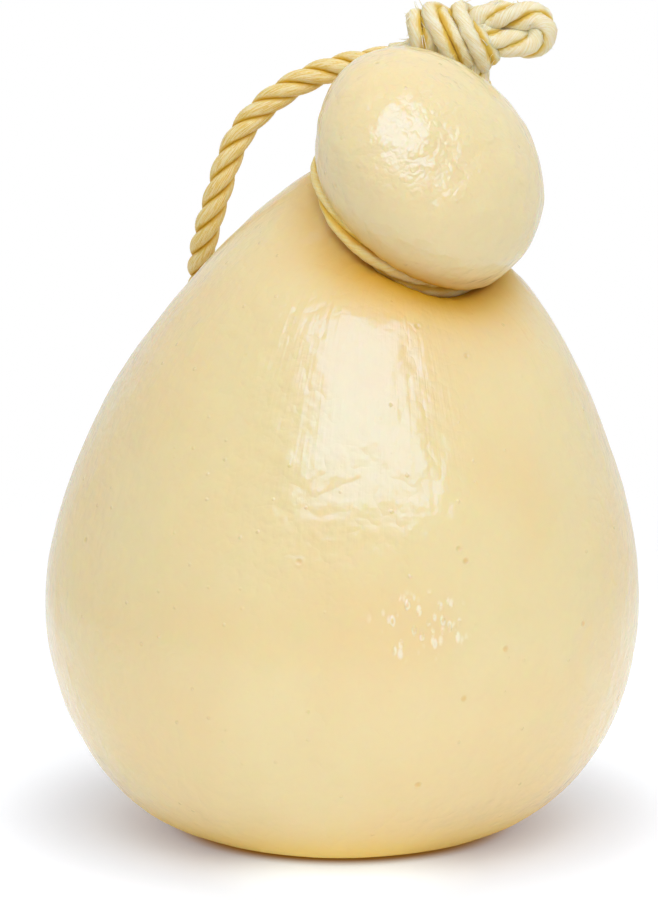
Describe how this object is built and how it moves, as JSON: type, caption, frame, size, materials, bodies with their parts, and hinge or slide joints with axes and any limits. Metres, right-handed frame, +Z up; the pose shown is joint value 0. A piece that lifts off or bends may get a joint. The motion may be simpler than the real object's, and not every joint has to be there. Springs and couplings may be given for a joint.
{
  "type": "caciocavallo cheese",
  "caption": "Pear-shaped stretched-curd cheese with a pinched neck and a round head, tied at the neck with a twisted rope whose free loop and knot let it hang.",
  "frame": {"origin": "on the flat foot that the cheese stands on, below the middle of its widest ring", "axes": "+Z up along the body, -Y to the front where the head leans, +X to the right seen from the front"},
  "size_m": [0.1404, 0.1404, 0.1938],
  "materials": {
    "rind": "smooth waxy cheese rind, cream yellow, half gloss, with small pits and soft mottling",
    "rope": "three-strand twisted plant-fibre rope, pale straw with golden grooves"
  },
  "bodies": {
    "root": {"cheese": "rind", "neck_rope": "rope", "rope_loop": "rope", "knot": "rope"}
  },
  "joints": []
}
